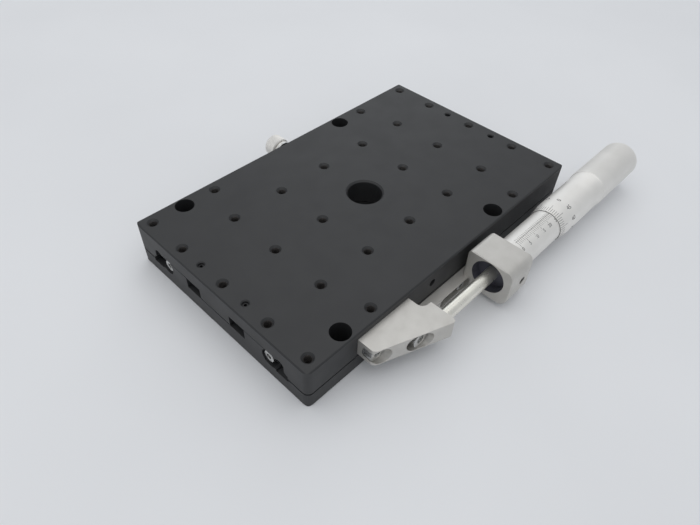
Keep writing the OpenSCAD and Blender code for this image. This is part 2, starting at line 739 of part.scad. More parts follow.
module anvil_bracket() color(SILVER) difference() {
    translate([0, 0, anvil_z]) linear_extrude(anvil_t) anvil_plan();
    for (x = [anvil_screw_1, anvil_screw_2])
        rod_y(m4_hole_d, -half_w - anvil_reach, -half_w + over, x, anvil_zc);
    rod_y(m4_head_d + 2 * head_gap, -half_w - anvil_reach, -half_w - anvil_seat_1,
          anvil_screw_1, anvil_zc);
    anvil_seat(anvil_screw_2 - anvil_seat_shift, anvil_seat_2, anvil_seat_l);
    rod_x(pad_d, anvil_x - pad_t, anvil_x + over, axis_y, axis_z);
}

module anvil_bracket_screws() color(STEEL)
    for (hole = [[anvil_screw_1, anvil_seat_1], [anvil_screw_2, anvil_seat_2]])
        translate([hole[0], -half_w - hole[1], anvil_zc]) rotate([90, 0, 0])
            cap_screw(tap_d - 2 * screw_gap, hole[1] + anvil_thread_l, m4_head_d, m4_head_h);

module anvil_pad() color(DARK_STEEL)
    rod_x(pad_d - 2 * screw_gap, anvil_x - pad_t, anvil_x, axis_y, axis_z);

// ---------------------------------------------------------------- micrometer bracket

// the clamp block's section in Y and Z
module block_section() {
    inner = axis_y + block_w / 2;
    outer = axis_y - block_w / 2;
    polygon(concat([[inner, block_lift]],
        rounded([inner, block_lift], [inner, block_top], [outer, block_top], block_in_r),
        rounded([inner, block_top], [outer, block_top], [outer, block_lift], block_out_r),
        rounded([outer, block_top], [outer, block_lift], [inner, block_lift], block_low_r)));
}

// the clamp block's plan, with its two rear corners rounded
module block_plan() {
    inner = axis_y + block_w / 2;
    outer = axis_y - block_w / 2;
    polygon(concat([[block_x + block_chamfer, outer], [block_x, outer + block_chamfer],
                    [block_x, inner - block_chamfer], [block_x + block_chamfer, inner]],
        rounded([block_x, inner], [block_end, inner], [block_end, outer], block_rear_r),
        rounded([block_end, inner], [block_end, outer], [block_x, outer], block_rear_r)));
}

module block() intersection() {
    translate([block_x + block_l / 2, 0, 0]) along_x(block_l) block_section();
    translate([block_x + block_l / 2, axis_y, block_lift]) along_y(block_w)
        chamfered_rect(block_l, block_top - block_lift, block_chamfer);
    translate([0, 0, block_lift]) linear_extrude(block_top) block_plan();
}

// a slot in the arm, with the recess round it longer by more towards the block
module arm_slot(x, more = 0) {
    translate([x, -half_w - arm_t - over, arm_zc]) rotate([-90, 0, 0]) {
        translate([more / 2, 0]) linear_extrude(arm_recess_depth + over)
            slot_shape(arm_recess_l + more, arm_recess_w);
        linear_extrude(arm_t + 2 * over)
            slot_shape(arm_recess_l - arm_recess_w + m25_hole_d, m25_hole_d);
    }
}

module micrometer_bracket() color(SILVER) difference() {
    union() {
        block();
        translate([arm_x, -half_w - arm_t, arm_lift])
            cube([block_end - block_chamfer - arm_x, arm_t, arm_top - arm_lift]);
    }
    rod_x(sleeve_d + 2 * screw_gap, block_x - over, block_end + over, axis_y, axis_z);
    arm_slot(arm_slots[0], arm_recess_more);
    arm_slot(arm_slots[1]);
    rod_y(tap_d, axis_y - block_w / 2 - over, axis_y, block_x + clamp_x, axis_z);
}

module micrometer_bracket_screws() color(STEEL) for (x = arm_slots)
    translate([x + arm_screw_shift, -arm_seat_y, arm_zc]) rotate([90, 0, 0])
        cap_screw(m25_tap_d - 2 * screw_gap, arm_seat_y - half_w + thread_l - screw_gap,
                  m25_head_d, m25_head_h);

module sleeve_clamp_screw() color(DARK_STEEL)
    translate([block_x + clamp_x, axis_y - block_w / 2 + set_sink, axis_z]) rotate([90, 0, 0])
        set_screw(tap_d - 2 * screw_gap, (block_w - sleeve_d) / 2 - set_sink - screw_gap);

// ---------------------------------------------------------------- micrometer head

module micrometer_sleeve() color(SILVER) difference() {
    rod_x(sleeve_d, sleeve_x, sleeve_end, axis_y, axis_z);
    rod_x(spindle_d + 2 * run_clear, sleeve_x - over, sleeve_end, axis_y, axis_z);
    rod_x(sleeve_bore, sleeve_x + guide_l, sleeve_end, axis_y, axis_z);
    rod_x(nut_d, sleeve_end - nut_l, sleeve_end + over, axis_y, axis_z);
    rod_z(key_w, axis_z - sleeve_d, axis_z, key_x, axis_y);
}

module spindle_key() color(STEEL)
    rod_z(key_w - 2 * screw_gap, axis_z - sleeve_d / 2 + 0.1, axis_z - spindle_d / 2 + key_depth - 0.15,
          key_x, axis_y);

module lead_screw_nut() color(BRASS) difference() {
    rod_x(nut_d - 2 * screw_gap, sleeve_end - nut_l, sleeve_end, axis_y, axis_z);
    rod_x(spindle_d + 2 * run_clear, sleeve_end - nut_l - over, sleeve_end + over, axis_y, axis_z);
}

module spindle() color(STEEL) difference() {
    rod_x(spindle_d, anvil_x, spindle_end, axis_y, axis_z);
    translate([key_x - travel - 1.5, axis_y - key_w / 2, axis_z - spindle_d / 2 - over])
        cube([2 * travel + 3, key_w, key_depth + over]);
}

module lead_screw() color(STEEL) rod_x(spindle_d, screw_x, thimble_end - cap_t, axis_y, axis_z);

module thimble() color(SILVER) translate([0, axis_y, axis_z]) rotate([0, 90, 0]) rotate_extrude()
    polygon([
        [thimble_bore / 2, thimble_x], [thimble_front_d / 2, thimble_x],
        [thimble_d / 2, thimble_x + bevel_l], [thimble_d / 2, thimble_x + plain_l],
        [grip_d / 2, thimble_x + plain_l + (grip_d - thimble_d) / 2],
        [grip_d / 2, thimble_end - grip_chamfer], [grip_d / 2 - grip_chamfer, thimble_end],
        [cap_d / 2, thimble_end], [cap_d / 2, thimble_end - cap_t],
        [spindle_d / 2 + screw_gap, thimble_end - cap_t], [spindle_d / 2 + screw_gap, web_x],
        [thimble_bore / 2, web_x]
    ]);

module thimble_cap() color(SILVER)
    rod_x(cap_d - 2 * screw_gap, thimble_end - cap_t, thimble_end, axis_y, axis_z);

// ---------------------------------------------------------------- travel lock

module lock_slot() translate([lock_x, half_w, lock_z]) rotate([90, 0, 0])
    linear_extrude(4 * lock_plate_t, center = true)
        slot_shape(2 * travel + lock_slot_d, lock_slot_d);

module lock_plate() color(BLACK) difference() {
    intersection() {
        along_x(stage_l) polygon([
            [half_w, lock_gap], [lock_out, lock_gap], [lock_out, lock_plate_top],
            [half_w + lock_gap, lock_plate_top], [half_w + lock_gap, shoulder_t], [half_w, shoulder_t]
        ]);
        translate([0, half_w, 0]) along_y(4 * lock_plate_t)
            chamfered_rect(2 * (lock_screw_x + m25_head_d), lock_plate_top, lock_corner);
    }
    lock_slot();
    for (s = [-1, 1])
        rod_y(m25_hole_d, half_w - over, lock_out + over, s * lock_screw_x, lock_screw_z);
}

module lock_plate_screws() color(STEEL) for (s = [-1, 1])
    translate([s * lock_screw_x, lock_out, lock_screw_z]) rotate([-90, 0, 0])
        cap_screw(m25_tap_d - 2 * screw_gap, lock_plate_t + thread_l - screw_gap,
                  m25_head_d, m25_head_h);

module lock_washer() color(STEEL) difference() {
    rod_y(collar_d, washer_y, washer_y + washer_t, lock_x, lock_z);
    rod_y(tap_d + 2 * screw_gap, washer_y - over, washer_y + washer_t + over, lock_x, lock_z);
}

module lock_stud() color(STEEL) rod_y(tap_d - 2 * screw_gap, stud_in, stud_out, lock_x, lock_z);

module lock_knob() color(SILVER) difference() {
    translate([lock_x, 0, lock_z]) rotate([-90, 0, 0]) rotate_extrude() polygon([
        [0, collar_y], [collar_d / 2, collar_y], [collar_d / 2, collar_y + collar_l],
        [collar_d / 2 - 1, collar_y + collar_l], [collar_d / 2 - 1, head_y],
        [knob_d / 2 - 0.5, head_y], [knob_d / 2, head_y + 0.5],
        [knob_d / 2, knob_end - 0.6], [knob_d / 2 - 0.6, knob_end], [0, knob_end]
    ]);
    rod_y(tap_d - 2 * screw_gap, collar_y - over, stud_out, lock_x, lock_z);
}

// ---------------------------------------------------------------- nodes

base_plate();
base_rail_front();
base_rail_back();
base_rail_screws();
base_rail_end_screws();
base_spring_posts();
spring_front();
spring_back();
travel_stop_pin();
table_plate();
table_rail_front();
table_rail_back();
table_rail_screws();
table_rail_end_screws();
table_spring_posts();
preload_screws();
cage_front();
cage_back();
rollers_front();
rollers_back();
anvil_bracket();
anvil_bracket_screws();
anvil_pad();
micrometer_bracket();
micrometer_bracket_screws();
sleeve_clamp_screw();
micrometer_sleeve();
spindle_key();
lead_screw_nut();
spindle();
lead_screw();
thimble();
thimble_cap();
lock_plate();
lock_plate_screws();
lock_washer();
lock_stud();
lock_knob();
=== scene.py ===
import json
import math

import bmesh
import bpy
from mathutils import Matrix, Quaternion, Vector


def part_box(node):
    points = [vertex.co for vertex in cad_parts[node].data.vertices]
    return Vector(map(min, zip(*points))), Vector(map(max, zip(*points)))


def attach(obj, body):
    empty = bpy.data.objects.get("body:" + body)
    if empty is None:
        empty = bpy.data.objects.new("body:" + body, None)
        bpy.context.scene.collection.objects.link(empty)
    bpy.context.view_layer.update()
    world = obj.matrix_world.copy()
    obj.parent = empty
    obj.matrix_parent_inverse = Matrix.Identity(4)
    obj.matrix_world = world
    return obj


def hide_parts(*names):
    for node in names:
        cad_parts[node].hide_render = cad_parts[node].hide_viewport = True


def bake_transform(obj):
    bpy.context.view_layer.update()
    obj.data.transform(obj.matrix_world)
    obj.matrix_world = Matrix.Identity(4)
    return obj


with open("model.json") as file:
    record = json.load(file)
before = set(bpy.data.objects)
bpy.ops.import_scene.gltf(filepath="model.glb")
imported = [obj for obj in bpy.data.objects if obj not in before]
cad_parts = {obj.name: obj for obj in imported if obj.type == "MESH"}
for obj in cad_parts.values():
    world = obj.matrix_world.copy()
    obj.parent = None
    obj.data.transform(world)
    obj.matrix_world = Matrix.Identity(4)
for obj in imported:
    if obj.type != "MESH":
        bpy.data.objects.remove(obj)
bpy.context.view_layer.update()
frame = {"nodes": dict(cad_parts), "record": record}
parts = frame["nodes"]
MM = 0.001
MERGE = 1e-7                       # points nearer than this are one


# ------------------------------------------------------------------ sizes

def middle(name):
    low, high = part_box(name)
    return (low + high) / 2


AXIS = middle("micrometer_sleeve")
SLEEVE_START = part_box("micrometer_sleeve")[0].x
SLEEVE_R = (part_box("micrometer_sleeve")[1].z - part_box("micrometer_sleeve")[0].z) / 2
THIMBLE_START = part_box("thimble")[0].x
THIMBLE_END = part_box("thimble")[1].x
GRIP_R = (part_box("thimble")[1].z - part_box("thimble")[0].z) / 2
BARREL_R = 8.25 * MM
FRONT_R = 7.5 * MM                # the thimble's front edge
BORE_R = SLEEVE_R + 0.1 * MM      # the thimble's bore
CAP_POCKET_R = 6.05 * MM
CAP_POCKET = 2 * MM               # its depth
BEVEL_END = THIMBLE_START + 6 * MM
GRIP_START = THIMBLE_START + 36 * MM
HALF_TRAVEL = 25 * MM
ZERO_X = THIMBLE_START - HALF_TRAVEL      # the zero of the sleeve's scale
DATUM = math.radians(90)          # place of the sleeve's long line, from -Y upwards


# ------------------------------------------------------------------ finishes

def finish_tree(name, colour, roughness, metallic):
    made = bpy.data.materials.new(name)
    made.use_nodes = True
    tree = made.node_tree
    shader = tree.nodes["Principled BSDF"]
    shader.inputs["Base Color"].default_value = (*colour, 1)
    shader.inputs["Roughness"].default_value = roughness
    shader.inputs["Metallic"].default_value = metallic
    return made, tree, shader


def place(tree, stretch=(1, 1, 1)):
    """Object coordinates, stretched along each axis."""
    where = tree.nodes.new("ShaderNodeTexCoord")
    mapping = tree.nodes.new("ShaderNodeMapping")
    mapping.vector_type = "POINT"
    mapping.inputs["Scale"].default_value = stretch
    tree.links.new(where.outputs["Object"], mapping.inputs["Vector"])
    return mapping.outputs["Vector"]


def grain(tree, scale, detail, stretch=(1, 1, 1)):
    noise = tree.nodes.new("ShaderNodeTexNoise")
    noise.inputs["Scale"].default_value = scale
    noise.inputs["Detail"].default_value = detail
    tree.links.new(place(tree, stretch), noise.inputs["Vector"])
    return noise.outputs["Fac"]


GRAIN_LOW, GRAIN_HIGH = 0.35, 0.65     # the part of a grain's range that is used


def between(tree, value, low, high, start=GRAIN_LOW, end=GRAIN_HIGH):
    """Turns a value between start and end into a number from low to high."""
    spread = tree.nodes.new("ShaderNodeMapRange")
    spread.inputs["From Min"].default_value = start
    spread.inputs["From Max"].default_value = end
    spread.inputs["To Min"].default_value = low
    spread.inputs["To Max"].default_value = high
    tree.links.new(value, spread.inputs["Value"])
    return spread.outputs["Result"]


def tint(tree, value, dark, light):
    """Turns a grain into a colour from dark to light."""
    ramp = tree.nodes.new("ShaderNodeValToRGB")
    ramp.color_ramp.elements[0].position = GRAIN_LOW
    ramp.color_ramp.elements[0].color = (*dark, 1)
    ramp.color_ramp.elements[1].position = GRAIN_HIGH
    ramp.color_ramp.elements[1].color = (*light, 1)
    tree.links.new(value, ramp.inputs["Fac"])
    return ramp.outputs["Color"]


def relief(tree, height, depth):
    bump = tree.nodes.new("ShaderNodeBump")
    bump.inputs["Distance"].default_value = depth
    bump.inputs["Strength"].default_value = 1.0
    tree.links.new(height, bump.inputs["Height"])
    return bump.outputs["Normal"]


def grained(name, dark, light, rough_low, rough_high, metallic, coarse, fine, depth):
    """A cloudy colour under a fine even grain, as blasting, tumbling or grinding leaves."""
    made, tree, shader = finish_tree(name, light, rough_high, metallic)
    cloud = grain(tree, coarse, 4)
    tree.links.new(tint(tree, cloud, dark, light), shader.inputs["Base Color"])
    tree.links.new(between(tree, grain(tree, coarse * 2.3, 3), rough_low, rough_high),
                   shader.inputs["Roughness"])
    tree.links.new(relief(tree, grain(tree, fine, 2), depth), shader.inputs["Normal"])
    return made


RING_PITCH = 0.12 * MM
RING_DEPTH = 0.0015 * MM


def chromed(name):
    """Satin chrome on a surface turned round the X axis: fine rings and a soft cloud."""
    dark, light = (0.81, 0.795, 0.765), (0.87, 0.855, 0.825)
    made, tree, shader = finish_tree(name, light, 0.50, 0.45)
    rings = grain(tree, 1, 2, stretch=(1 / RING_PITCH, 40, 40))
    cloud = grain(tree, 90, 3)
    tree.links.new(tint(tree, cloud, dark, light), shader.inputs["Base Color"])
    tree.links.new(between(tree, rings, 0.42, 0.50), shader.inputs["Roughness"])
    tree.links.new(relief(tree, rings, RING_DEPTH), shader.inputs["Normal"])
    return made


def darkened_end(made, x):
    """Paints shade onto a finish in front of a place along X: a flat dark slate colour there, as
    painted shade.
    """
    tree = made.node_tree
    shader = tree.nodes["Principled BSDF"]
    bright = shader.inputs["Base Color"].links[0].from_socket
    split = tree.nodes.new("ShaderNodeSeparateXYZ")
    tree.links.new(place(tree), split.inputs["Vector"])
    shade_mask = between(tree, split.outputs["X"], 0.0, 1.0, x, x + 0.1 * MM)
    mix = tree.nodes.new("ShaderNodeMix")
    mix.data_type = "RGBA"
    # painted shade: the colour of the sleeve's front face, which lies in shade deep in the bore
    mix.inputs["A"].default_value = (0.13, 0.13, 0.16, 1)
    tree.links.new(shade_mask, mix.inputs["Factor"])
    tree.links.new(bright, mix.inputs["B"])
    tree.links.new(mix.outputs["Result"], shader.inputs["Base Color"])


BLACK = grained("black_anodised", (0.0200, 0.0205, 0.0220), (0.0232, 0.0238, 0.0252), 0.48, 0.53,
                0.0, coarse=45, fine=5200, depth=0.006 * MM)
CLEAR = grained("clear_anodised", (0.57, 0.555, 0.525), (0.63, 0.615, 0.585), 0.44, 0.54, 0.75,
                coarse=120, fine=4200, depth=0.006 * MM)
CHROME = chromed("satin_chrome")
HARD = grained("ground_spindle", (0.83, 0.81, 0.74), (0.89, 0.87, 0.79), 0.27, 0.33, 0.85,
               coarse=250, fine=4500, depth=0.0008 * MM)
GROUND = grained("ground_steel", (0.50, 0.51, 0.53), (0.60, 0.61, 0.63), 0.22, 0.34, 1.0,
                 coarse=300, fine=2500, depth=0.002 * MM)
SCREW = grained("bright_screw", (0.62, 0.62, 0.61), (0.68, 0.68, 0.67), 0.22, 0.28, 1.0,
                coarse=350, fine=5000, depth=0.0008 * MM)
OXIDE = grained("black_oxide", (0.022, 0.022, 0.024), (0.040, 0.040, 0.042), 0.35, 0.50, 0.6,
                coarse=700, fine=5000, depth=0.004 * MM)
WIRE = grained("spring_wire", (0.45, 0.45, 0.46), (0.58, 0.58, 0.58), 0.25, 0.38, 1.0,
               coarse=500, fine=4000, depth=0.003 * MM)
# painted shade for the bracket's bore wall, which lies in shade
SHADED = grained("painted_shade_bore", (0.11, 0.11, 0.135), (0.15, 0.15, 0.18), 0.40, 0.55, 0.5,
                 coarse=500, fine=3500, depth=0.003 * MM)
BRASS = grained("brass", (0.62, 0.47, 0.20), (0.74, 0.58, 0.28), 0.28, 0.42, 1.0,
                coarse=400, fine=3000, depth=0.003 * MM)
SLEEVE = chromed("sleeve_chrome")
# the sleeve's front face inside the bracket's bore gets painted shade
darkened_end(SLEEVE, SLEEVE_START + 0.2 * MM)
THREAD = grained("anodised_thread", (0.050, 0.047, 0.046), (0.095, 0.088, 0.084), 0.30, 0.42, 0.5,
                 coarse=900, fine=5000, depth=0.003 * MM)
# ink for the engraved scales, also used as painted shade on the thimble's front face
INK_AND_SHADE = grained("engraving_ink_and_painted_shade", (0.018, 0.018, 0.020), (0.035, 0.035, 0.037), 0.55, 0.70, 0.0,
              coarse=2000, fine=9000, depth=0.002 * MM)

FINISHES = {
    BLACK: ["base_plate", "table_plate", "lock_plate"],
    GROUND: ["base_rail_front", "base_rail_back", "table_rail_front", "table_rail_back",
             "rollers_front", "rollers_back"],
    OXIDE: ["base_rail_screws", "table_rail_screws", "table_rail_end_screws", "preload_screws",
            "travel_stop_pin", "table_spring_posts", "sleeve_clamp_screw"],
    SCREW: ["base_rail_end_screws", "anvil_bracket_screws", "micrometer_bracket_screws",
            "lock_plate_screws", "base_spring_posts", "lock_washer", "lock_stud", "spindle_key"],
    BRASS: ["cage_front", "cage_back", "lead_screw_nut"],
    HARD: ["anvil_pad", "spindle", "lead_screw"],
    SLEEVE: ["micrometer_sleeve"],
    CHROME: ["thimble_cap"],
}
for look, names in FINISHES.items():
    for name in names:
        mesh = parts[name].data
        mesh.materials.clear()
        mesh.materials.append(look)


# ------------------------------------------------------------------ making pieces

def finished(name, bm, look, angle=35, normals=False):
    """Makes the piece's object, with faces smooth up to an angle and sharp past it."""
    if normals:
        bmesh.ops.recalc_face_normals(bm, faces=bm.faces)
    for face in bm.faces:
        face.smooth = True
    for edge in bm.edges:
        edge.smooth = not edge.is_manifold or edge.calc_face_angle(0) < math.radians(angle)
    mesh = bpy.data.meshes.new(name)
    bm.to_mesh(mesh)
    bm.free()
    mesh.materials.append(look)
    piece = bpy.data.objects.new(name, mesh)
    bpy.context.scene.collection.objects.link(piece)
    return piece


def spin_outline(bm, places, centre, axis, steps, closed=False):
    """Turns an outline round an axis."""
    ring = [bm.verts.new(place) for place in places]
    pairs = zip(ring, ring[1:] + ring[:1]) if closed else zip(ring, ring[1:])
    edges = [bm.edges.new(pair) for pair in pairs]
    bmesh.ops.spin(bm, geom=ring + edges, cent=centre, axis=axis, angle=2 * math.pi, steps=steps,
                   use_merge=True)


def join(bm, part):
    """Adds one bmesh to another and frees it."""
    carrier = bpy.data.meshes.new("carrier")
    part.to_mesh(carrier)
    part.free()
    bm.from_mesh(carrier)
    bpy.data.meshes.remove(carrier)


def from_curve(curve):
    """Makes a bmesh of a text or a bevelled curve, and removes the curve."""
    holder = bpy.data.objects.new(curve.name, curve)
    bpy.context.scene.collection.objects.link(holder)
    bpy.context.view_layer.update()
    mesh = bpy.data.meshes.new_from_object(
        holder.evaluated_get(bpy.context.evaluated_depsgraph_get()))
    bm = bmesh.new()
    bm.from_mesh(mesh)
    bpy.data.objects.remove(holder)
    bpy.data.curves.remove(curve)
    bpy.data.meshes.remove(mesh)
    return bm


def tooth(phase):
    """A triangle wave from 0 to 1 and back."""
    phase = phase % 1.0
    return 2 * phase if phase < 0.5 else 2 - 2 * phase


def softened(name, look, width, body):
    """A copy of a solid with its edges broken by a small bevel."""
    bm = bmesh.new()
    bm.from_mesh(parts[name].data)
    bmesh.ops.remove_doubles(bm, verts=bm.verts, dist=2e-6)
    bmesh.ops.dissolve_limit(bm, angle_limit=math.radians(0.5), verts=bm.verts, edges=bm.edges,
                             use_dissolve_boundaries=False)
    piece = finished(name + "_dressed", bm, look)
    bevel = piece.modifiers.new("broken_edges", "BEVEL")
    bevel.width = width
    bevel.segments = 2
    bevel.limit_method = "ANGLE"
    bevel.angle_limit = math.radians(40)
    bevel.use_clamp_overlap = True
    bevel.harden_normals = False
    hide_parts(name)
    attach(piece, body)
    return piece


# ------------------------------------------------------------------ brackets

softened("anvil_bracket", CLEAR, 0.45 * MM, "table")
block = softened("micrometer_bracket", CLEAR, 0.30 * MM, "base")
block.data.materials.append(SHADED)
# the bore wall's faces round the sleeve get the painted shade
for face in block.data.polygons:
    out = Vector((0, face.center.y - AXIS.y, face.center.z - AXIS.z))
    if out.length < SLEEVE_R + 0.2 * MM and face.normal.dot(out.normalized()) < -0.9:
        face.material_index = 1


# ------------------------------------------------------------------ tapped holes

THREAD_PITCH = 0.7 * MM
THREAD_TURNS = 7
THREAD_SIDES = 28
SINK_DEPTH = 0.75 * MM
THREAD_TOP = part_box("table_plate")[1].z - SINK_DEPTH


def pattern_places(mount):
    """Where the holes of one of the table's bolt patterns are."""
    half_x = mount["dims"].get("spacing_x_mm", 0) / 2 * MM
    half_y = mount["dims"].get("spacing_y_mm", 0) / 2 * MM
    return {(x, y) for x in (-half_x, half_x) for y in (-half_y, half_y)}


def thread_profile(x, y, wall):
    """The outline of a ring with a toothed bore, from the countersink down."""
    back, valley, crest = wall - 0.005 * MM, wall - 0.03 * MM, wall - 0.22 * MM
    outline = [(back, 0), (valley, 0)]
    for turn in range(THREAD_TURNS):
        outline += [(crest, -(turn + 0.5) * THREAD_PITCH), (valley, -(turn + 1) * THREAD_PITCH)]
    outline.append((back, -THREAD_TURNS * THREAD_PITCH))
    return [(x + r, y, THREAD_TOP + z) for r, z in outline]


threads = bmesh.new()
for mount in frame["record"]["mounts"]:
    if mount["kind"] == "bolt_pattern" and mount["name"].startswith("table_"):
        for x, y in sorted(pattern_places(mount)):
            wall = mount["dims"]["hole_r_mm"] * MM
            spin_outline(threads, thread_profile(x, y, wall), (x, y, 0), (0, 0, 1), THREAD_SIDES,
                         closed=True)
bmesh.ops.remove_doubles(threads, verts=threads.verts, dist=MERGE)
table_threads = finished("table_threads", threads, THREAD, angle=20, normals=True)
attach(table_threads, "table")


# ------------------------------------------------------------------ thimble

def knurled(bm, start, end, radius, teeth, pitch, depth):
    """Cuts crossed grooves in a turned surface between two places along X."""
    for vert in bm.verts:
        y, z = vert.co.y - AXIS.y, vert.co.z - AXIS.z
        r = math.hypot(y, z)
        if start < vert.co.x < end and abs(r - radius) < 0.02 * MM:
            turn = math.atan2(z, y) / (2 * math.pi) * teeth
            along = (vert.co.x - start) / pitch
            ridge = min(tooth(turn + along), tooth(turn - along))
            scale = (radius - depth * (1 - ridge)) / r
            vert.co.y = AXIS.y + y * scale
            vert.co.z = AXIS.z + z * scale


KNURL_PITCH = 0.82 * MM
KNURL_TEETH = 66
KNURL_DEPTH = 0.12 * MM
KNURL_SLACK = 1e-6                 # keeps the end rows inside the knurl
KNURL_ROWS = int((THIMBLE_END - GRIP_START - 2.6 * MM) / (KNURL_PITCH / 2))
KNURL_START = GRIP_START + 1.0 * MM
KNURL_END = KNURL_START + KNURL_ROWS * KNURL_PITCH / 2

# (x, radius) round the thimble's wall, from the bore's front edge
outline = [
    (THIMBLE_START, BORE_R), (THIMBLE_START, FRONT_R - 0.08 * MM),
    (THIMBLE_START + 0.08 * MM, FRONT_R), (BEVEL_END - 0.1 * MM, BARREL_R - 0.015 * MM),
    (BEVEL_END + 0.1 * MM, BARREL_R), (GRIP_START, BARREL_R),
    (GRIP_START + 0.12 * MM, BARREL_R + 0.06 * MM), (GRIP_START + 0.42 * MM, GRIP_R - 0.04 * MM),
    (GRIP_START + 0.55 * MM, GRIP_R),
]
outline += [(KNURL_START + i * KNURL_PITCH / 2, GRIP_R) for i in range(KNURL_ROWS + 1)]
outline += [
    (THIMBLE_END - 1.2 * MM, GRIP_R), (THIMBLE_END - 0.75 * MM, GRIP_R - 0.10 * MM),
    (THIMBLE_END - 0.35 * MM, GRIP_R - 0.35 * MM), (THIMBLE_END - 0.10 * MM, GRIP_R - 0.75 * MM),
    (THIMBLE_END, GRIP_R - 1.25 * MM), (THIMBLE_END, CAP_POCKET_R),
    (THIMBLE_END - CAP_POCKET, CAP_POCKET_R), (THIMBLE_END - CAP_POCKET, BORE_R),
]
body = bmesh.new()
spin_outline(body, [(x, AXIS.y, AXIS.z + r) for x, r in outline], (0, AXIS.y, AXIS.z), (1, 0, 0),
             2 * KNURL_TEETH, closed=True)
bmesh.ops.remove_doubles(body, verts=body.verts, dist=MERGE)
bmesh.ops.recalc_face_normals(body, faces=body.faces)
knurled(body, KNURL_START - KNURL_SLACK, KNURL_END + KNURL_SLACK, GRIP_R, KNURL_TEETH, KNURL_PITCH,
        KNURL_DEPTH)
thimble = finished("thimble_body", body, CHROME, angle=28, normals=True)
thimble.data.materials.append(INK_AND_SHADE)
# the thimble's front face gets the dark ink colour as painted shade, for the shadowed gap at its
# front edge
for face in thimble.data.polygons:
    if face.normal.x < -0.9 and face.center.x < THIMBLE_START + 0.05 * MM:
        face.material_index = 1
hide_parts("thimble")
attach(thimble, "thimble")


# ------------------------------------------------------------------ scales

DIGIT_SHARE = 0.7                  # a digit's height as a share of the text's size


def add_number(bm, number, height, x, up):
    """Puts a number on the flat scale, x along the axis and up round the barrel."""
    curve = bpy.data.curves.new("number", "FONT")
    curve.body = str(number)
    curve.size = height / DIGIT_SHARE
    curve.align_x = "CENTER"
    curve.align_y = "CENTER"
    part = from_curve(curve)
    bmesh.ops.translate(part, verts=part.verts, vec=(x, up, 0))
    join(bm, part)


def add_line(bm, x, up, length_x, length_up):
    """A line on the flat scale, by its middle and its size each way."""
    grid = bmesh.ops.create_grid(bm, x_segments=1, y_segments=max(1, int(length_up / (0.6 * MM))),
                                 size=0.5)
    bmesh.ops.scale(bm, vec=(length_x, length_up, 1), verts=grid["verts"])
    bmesh.ops.translate(bm, vec=(x, up, 0), verts=grid["verts"])


def wrap(bm, start, radius):
    """Bends a flat scale round the micrometer, from the angle start upwards."""
    for vert in bm.verts:
        r = radius(vert.co.x)
        angle = start + vert.co.y / r
        vert.co = (vert.co.x, AXIS.y - r * math.cos(angle), AXIS.z + r * math.sin(angle))
    for face in bm.faces:
        face.normal_update()
        centre = face.calc_center_median()
        if face.normal.dot(centre - Vector((centre.x, AXIS.y, AXIS.z))) < 0:
            face.normal_flip()


LINE = 0.13 * MM
SCALE_LENGTH = 50                  # millimetres on the sleeve
SLEEVE_DIGIT = 1.5 * MM            # height of the sleeve's numbers
SLEEVE_NUMBERS = -4.0 * MM         # their middle, from the long line
THIMBLE_MARKS = 50                 # divisions round the thimble
THIMBLE_DIGIT = 1.9 * MM
THIMBLE_NUMBERS = THIMBLE_START + 9.4 * MM
flat = bmesh.new()
add_line(flat, ZERO_X + HALF_TRAVEL, 0, (SCALE_LENGTH + 1) * MM, LINE)
for half in range(2 * SCALE_LENGTH + 1):
    x = ZERO_X + half * 0.5 * MM
    if half % 2 == 0:
        tick = (2.8 if half % 10 == 0 else 1.9) * MM
        add_line(flat, x, -tick / 2, LINE, tick)
    else:
        add_line(flat, x, 0.6 * MM, LINE, 1.2 * MM)
for mark in range(0, SCALE_LENGTH + 1, 5):
    add_number(flat, mark, SLEEVE_DIGIT, ZERO_X + mark * MM, SLEEVE_NUMBERS)
wrap(flat, DATUM, lambda x: SLEEVE_R + 0.015 * MM)
sleeve_scale = finished("sleeve_scale", flat, INK_AND_SHADE)
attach(sleeve_scale, "base")


def bevel_radius(x):
    share = min(max((x - THIMBLE_START) / (BEVEL_END - THIMBLE_START), 0), 1)
    return FRONT_R + (BARREL_R - FRONT_R) * share + 0.02 * MM


flat = bmesh.new()
for mark in range(THIMBLE_MARKS):
    tick = (4.4 if mark % 5 == 0 else 2.5) * MM
    ring = bmesh.new()
    add_line(ring, THIMBLE_START + 0.2 * MM + tick / 2, 0, tick, LINE)
    if mark % 5 == 0:
        add_number(ring, mark, THIMBLE_DIGIT, THIMBLE_NUMBERS, 0)
    wrap(ring, DATUM + (mark + 1) * 2 * math.pi / THIMBLE_MARKS, bevel_radius)
    join(flat, ring)
thimble_scale = finished("thimble_scale", flat, INK_AND_SHADE)
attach(thimble_scale, "thimble")


# ------------------------------------------------------------------ lock knob

KNOB_TEETH = 48
KNOB_TOOTH = 0.22 * MM
KNOB_ROWS = 12
knob_low, knob_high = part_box("lock_knob")
knob_mid = middle("lock_knob")
knob_r = (knob_high.z - knob_low.z) / 2
neck = knob_low.y + 0.9 * MM
head = neck + 0.6 * MM

